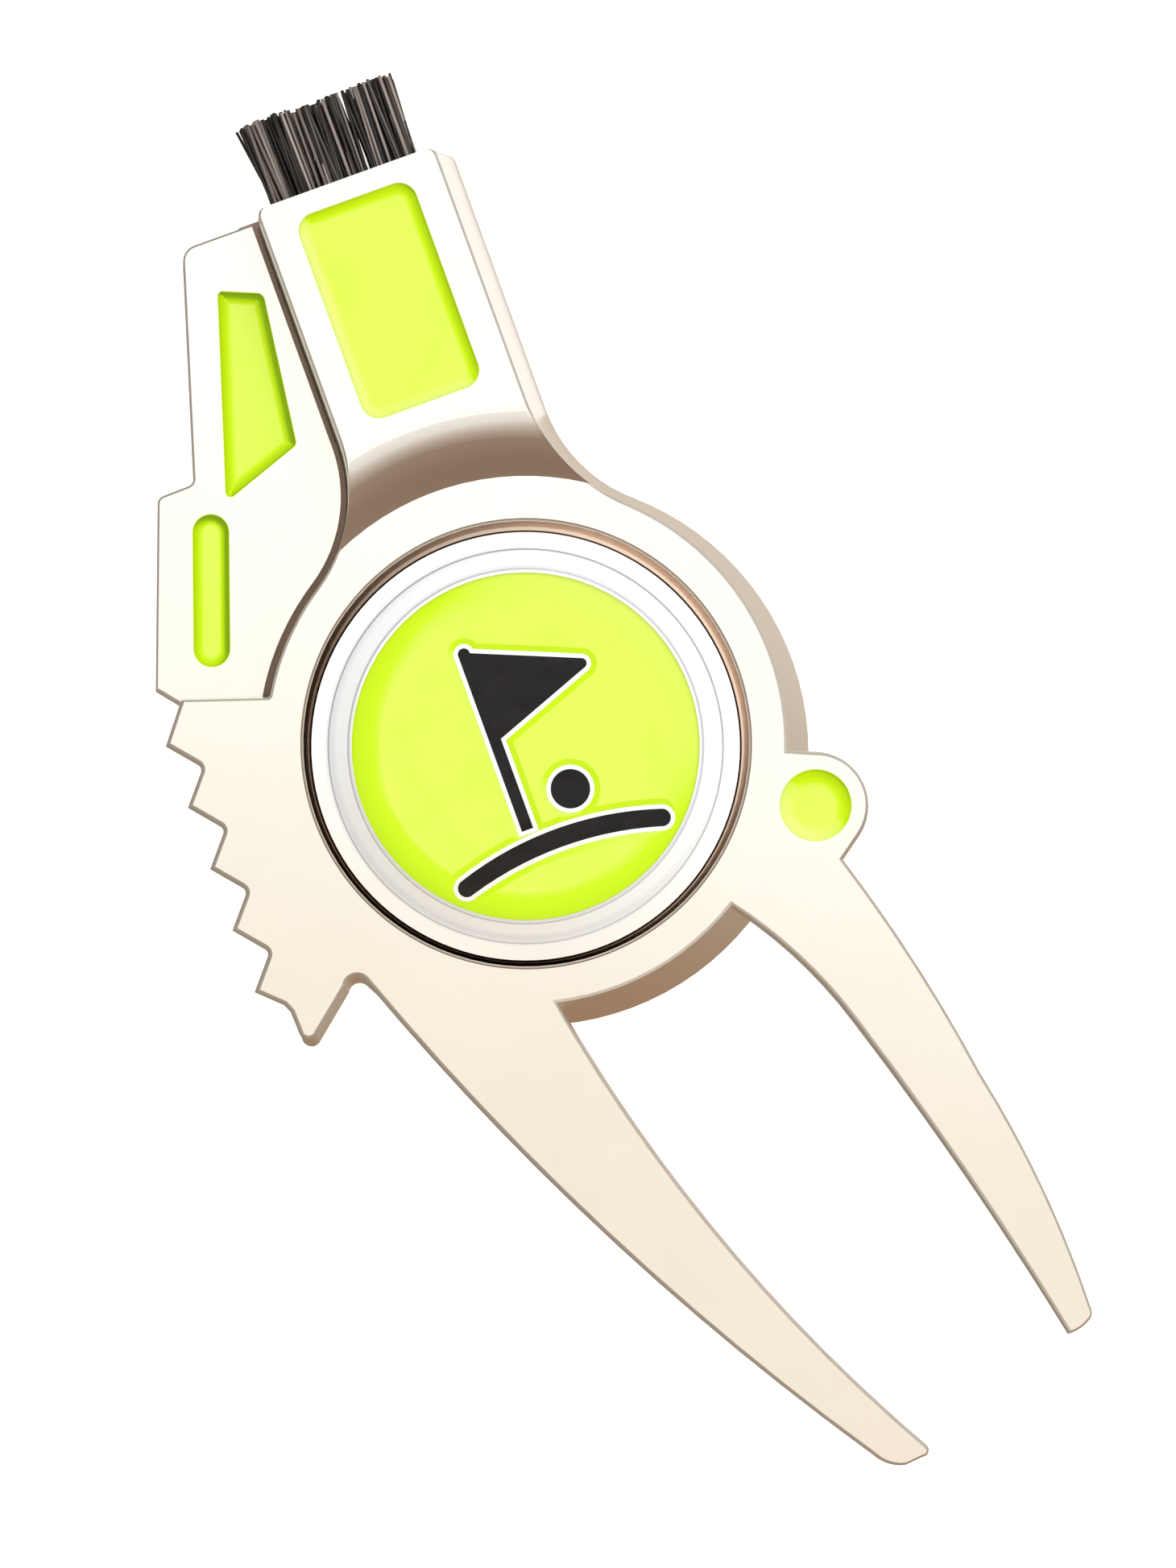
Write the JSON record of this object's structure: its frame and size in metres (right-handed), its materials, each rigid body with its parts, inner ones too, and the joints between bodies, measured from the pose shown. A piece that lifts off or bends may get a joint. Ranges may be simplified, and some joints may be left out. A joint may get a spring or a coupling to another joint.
{
  "type": "divot repair tool",
  "caption": "Pocket golf tool: two-pronged turf fork with a magnetic ball marker, a retracting groove brush in its neck and a fold-out arm at its side.",
  "frame": {"origin": "on the flat back, under the centre of the marker's seat", "axes": "+Z out of the front face, +Y along the neck towards the brush, prongs towards -Y"},
  "size_m": [0.0395, 0.0862, 0.008],
  "materials": {
    "satin_nickel": "zinc casting with a pearl nickel plating, satin",
    "satin_steel": "nickel-plated steel sheet, fine straight grain",
    "screw_steel": "turned steel, bright",
    "spring_steel": "cold-rolled spring steel, slightly blue",
    "polished_nickel": "struck steel, polished and nickel plated",
    "magnet": "plated rare-earth magnet",
    "green_enamel": "soft enamel, vivid yellow-green, glossy",
    "black_enamel": "soft enamel, black, glossy",
    "black_nylon": "moulded nylon, fine texture",
    "bristle": "black and dark grey nylon bristle",
    "staple_brass": "flattened brass wire",
    "bush_brass": "turned brass"
  },
  "bodies": {
    "tool_body": {"fork_body": "satin_nickel", "back_cover": "satin_steel", "cover_screws": "screw_steel", "marker_magnet": "magnet", "neck_enamel": "green_enamel", "boss_enamel": "green_enamel", "brush_detent_spring": "spring_steel", "arm_pivot_screw": "screw_steel", "arm_spring_washer": "spring_steel"},
    "ball_marker": {"marker_blank": "polished_nickel", "marker_green_enamel": "green_enamel", "marker_black_enamel": "black_enamel"},
    "brush": {"brush_carriage": "black_nylon", "bristle_tufts": "bristle", "tuft_staples": "staple_brass", "brush_button": "black_nylon", "brush_button_screw": "screw_steel"},
    "groove_arm": {"side_arm": "satin_nickel", "arm_long_enamel": "green_enamel", "arm_slot_enamel": "green_enamel", "arm_pivot_bush": "bush_brass"}
  },
  "joints": [
    {"name": "marker_lift", "type": "slide", "parent": "tool_body", "child": "ball_marker", "axis": [0, 0, 1], "range_m": [0, 0.012]},
    {"name": "brush_slide", "type": "slide", "parent": "tool_body", "child": "brush", "axis": [0, 1, 0], "range_m": [-0.0055, 0]},
    {"name": "arm_fold", "type": "hinge", "parent": "tool_body", "child": "groove_arm", "pos_m": [-0.0158, 0.0059, 0], "axis": [0, 0, 1], "range_deg": [0, 110]}
  ]
}
